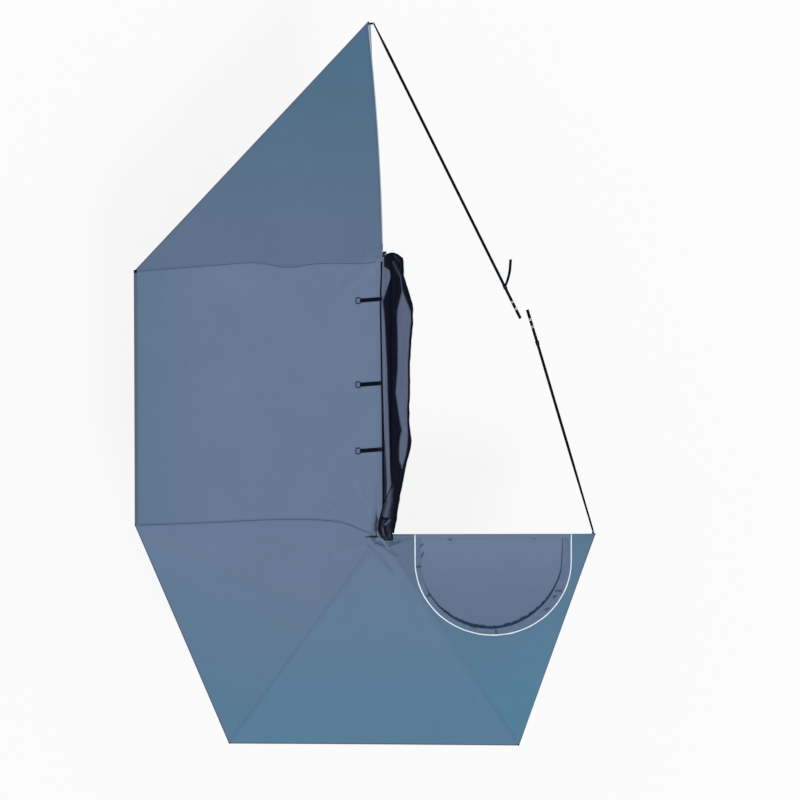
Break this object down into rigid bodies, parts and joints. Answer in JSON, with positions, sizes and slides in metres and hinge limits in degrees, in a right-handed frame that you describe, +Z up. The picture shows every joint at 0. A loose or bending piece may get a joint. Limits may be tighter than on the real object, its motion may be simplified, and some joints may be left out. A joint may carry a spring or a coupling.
{
  "type": "vehicle side awning",
  "caption": "Fold-out vehicle side awning with a hinged fan of arms, wrap-round canopy, zipped rear flap, travel cover and roof bar brackets",
  "frame": {"origin": "centre of the middle bracket's foot, on its underside", "axes": "+Z up, +Y towards the vehicle's front, +X towards the vehicle"},
  "size_m": [4.0632, 6.3722, 0.1605],
  "materials": {
    "anodised_rail": "satin anodised",
    "arm_tube": "satin",
    "coated_steel": "black powder coat",
    "zinc_steel": "zinc plated",
    "black_nylon": "moulded, matt",
    "canopy_cloth": "coated polyester-cotton weave",
    "cover_pvc": "coated sheet",
    "zip_tape": "woven tape with coil",
    "webbing": "woven"
  },
  "bodies": {
    "rail": {"mounting_rail": "anodised_rail", "rail_cap_front": "black_nylon", "rail_cap_rear": "black_nylon", "mount_bracket_front": "coated_steel", "mount_bracket_middle": "coated_steel", "mount_bracket_rear": "coated_steel", "mount_bolt_front": "zinc_steel", "mount_bolt_middle": "zinc_steel", "mount_bolt_rear": "zinc_steel", "canopy_welt": "black_nylon", "cover_welt": "black_nylon", "front_hinge_bracket": "coated_steel", "rear_hinge_bracket": "coated_steel", "front_hinge_pin": "zinc_steel", "rear_hinge_pin": "zinc_steel", "front_hinge_screw_1": "zinc_steel", "front_hinge_screw_2": "zinc_steel", "rear_hinge_screw_1": "zinc_steel", "rear_hinge_screw_2": "zinc_steel", "apex_washer": "zinc_steel", "front_side_washer": "zinc_steel", "rear_side_washer": "zinc_steel", "rear_left_washer": "zinc_steel", "rear_right_washer": "zinc_steel", "rear_edge_washer": "zinc_steel", "side_panel": "canopy_cloth", "roll_strap_1": "webbing", "roll_strap_2": "webbing", "roll_strap_3": "webbing"},
    "apex_arm": {"apex_arm_knuckle": "black_nylon", "apex_arm_tube": "arm_tube", "apex_arm_cap": "black_nylon", "front_panel": "canopy_cloth", "front_strap": "webbing", "front_strap_buckle": "zinc_steel"},
    "front_side_arm": {"front_side_arm_knuckle": "black_nylon", "front_side_arm_tube": "arm_tube", "front_side_arm_cap": "black_nylon"},
    "rear_side_arm": {"rear_side_arm_knuckle": "black_nylon", "rear_side_arm_tube": "arm_tube", "rear_side_arm_cap": "black_nylon"},
    "rear_left_arm": {"rear_left_arm_knuckle": "black_nylon", "rear_left_arm_tube": "arm_tube", "rear_left_arm_cap": "black_nylon", "rear_left_panel": "canopy_cloth"},
    "rear_right_arm": {"rear_right_arm_knuckle": "black_nylon", "rear_right_arm_tube": "arm_tube", "rear_right_arm_cap": "black_nylon", "rear_panel": "canopy_cloth"},
    "rear_edge_arm": {"rear_edge_arm_knuckle": "black_nylon", "rear_edge_arm_tube": "arm_tube", "rear_edge_arm_cap": "black_nylon", "rear_right_panel": "canopy_cloth", "flap_zip": "zip_tape", "rear_strap": "webbing", "rear_strap_buckle": "zinc_steel"},
    "flap": {"tailgate_flap": "canopy_cloth"},
    "cover": {"travel_cover": "cover_pvc", "cover_zip": "webbing"}
  },
  "joints": [
    {"name": "rear_edge_arm_swing", "type": "hinge", "parent": "rail", "child": "rear_edge_arm", "pos_m": [-0.0956, -1.258, 0.0148], "axis": [0, 0, 1], "range_deg": [-270.1, 0], "deforming": ["rear_right_panel", "tailgate_flap", "flap_zip", "rear_strap", "rear_strap_buckle"]},
    {"name": "rear_right_arm_swing", "type": "hinge", "parent": "rail", "child": "rear_right_arm", "pos_m": [-0.0956, -1.258, 0.0148], "axis": [0, 0, 1], "range_deg": [-213.5, 0], "deforming": ["rear_panel"]},
    {"name": "rear_left_arm_swing", "type": "hinge", "parent": "rail", "child": "rear_left_arm", "pos_m": [-0.0956, -1.258, 0.0148], "axis": [0, 0, 1], "range_deg": [-143.9, 0], "deforming": ["rear_left_panel"]},
    {"name": "rear_side_arm_swing", "type": "hinge", "parent": "rail", "child": "rear_side_arm", "pos_m": [-0.0956, -1.258, 0.0148], "axis": [0, 0, 1], "range_deg": [-87.4, 0], "deforming": ["side_panel"]},
    {"name": "front_side_arm_swing", "type": "hinge", "parent": "rail", "child": "front_side_arm", "pos_m": [-0.0956, 1.18, 0.06], "axis": [0, 0, 1], "range_deg": [0, 86.6]},
    {"name": "apex_arm_swing", "type": "hinge", "parent": "rail", "child": "apex_arm", "pos_m": [-0.0956, 1.18, 0.06], "axis": [0, 0, 1], "range_deg": [0, 177.3], "deforming": ["front_panel", "front_strap", "front_strap_buckle"]},
    {"name": "tailgate_flap_swing", "type": "hinge", "parent": "rear_edge_arm", "child": "flap", "pos_m": [0.8994, -1.2753, 0.00154], "axis": [0.9982, 0, -0.0603], "range_deg": [0, 90]},
    {"name": "travel_cover_swing", "type": "hinge", "parent": "rail", "child": "cover", "pos_m": [-0.0483, 0, 0.0655], "axis": [0, 1, 0], "range_deg": [-150, 0]}
  ],
  "couplings": [
    {"joint": "rear_right_arm_swing", "follows": "rear_edge_arm_swing", "ratio": 0.7904},
    {"joint": "rear_left_arm_swing", "follows": "rear_edge_arm_swing", "ratio": 0.5327},
    {"joint": "rear_side_arm_swing", "follows": "rear_edge_arm_swing", "ratio": 0.3235},
    {"joint": "front_side_arm_swing", "follows": "rear_edge_arm_swing", "ratio": -0.3206},
    {"joint": "apex_arm_swing", "follows": "rear_edge_arm_swing", "ratio": -0.6564}
  ]
}
